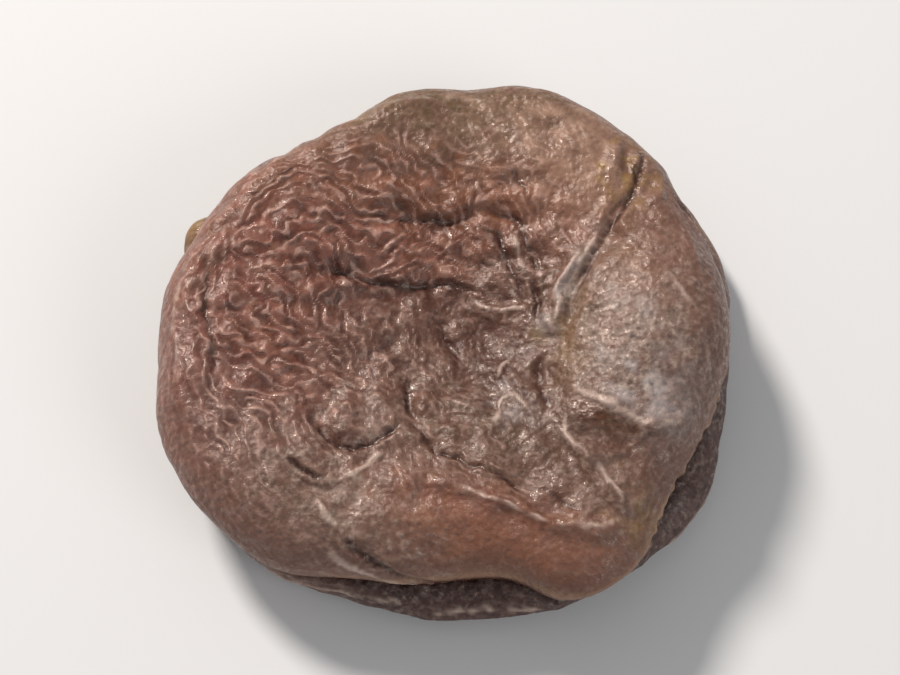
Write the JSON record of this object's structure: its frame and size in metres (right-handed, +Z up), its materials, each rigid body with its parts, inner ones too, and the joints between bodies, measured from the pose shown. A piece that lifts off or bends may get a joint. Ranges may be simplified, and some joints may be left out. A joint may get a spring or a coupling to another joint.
{
  "type": "dried apricot",
  "caption": "Whole dried apricot, stoned and pressed flat: a dished, wrinkled disc of brown flesh with a split rim, lying on a small flat underside.",
  "frame": {"origin": "on the surface the fruit lies on, under the middle of its bounding box", "axes": "+Z up out of the dished upper face; +X along its longest width; the split rim's open side towards -Y"},
  "size_m": [0.042, 0.0408, 0.0108],
  "materials": {
    "dried_flesh": "wrinkled leathery skin, dull sugar gloss"
  },
  "bodies": {
    "root": {"apricot": "dried_flesh"}
  },
  "joints": []
}
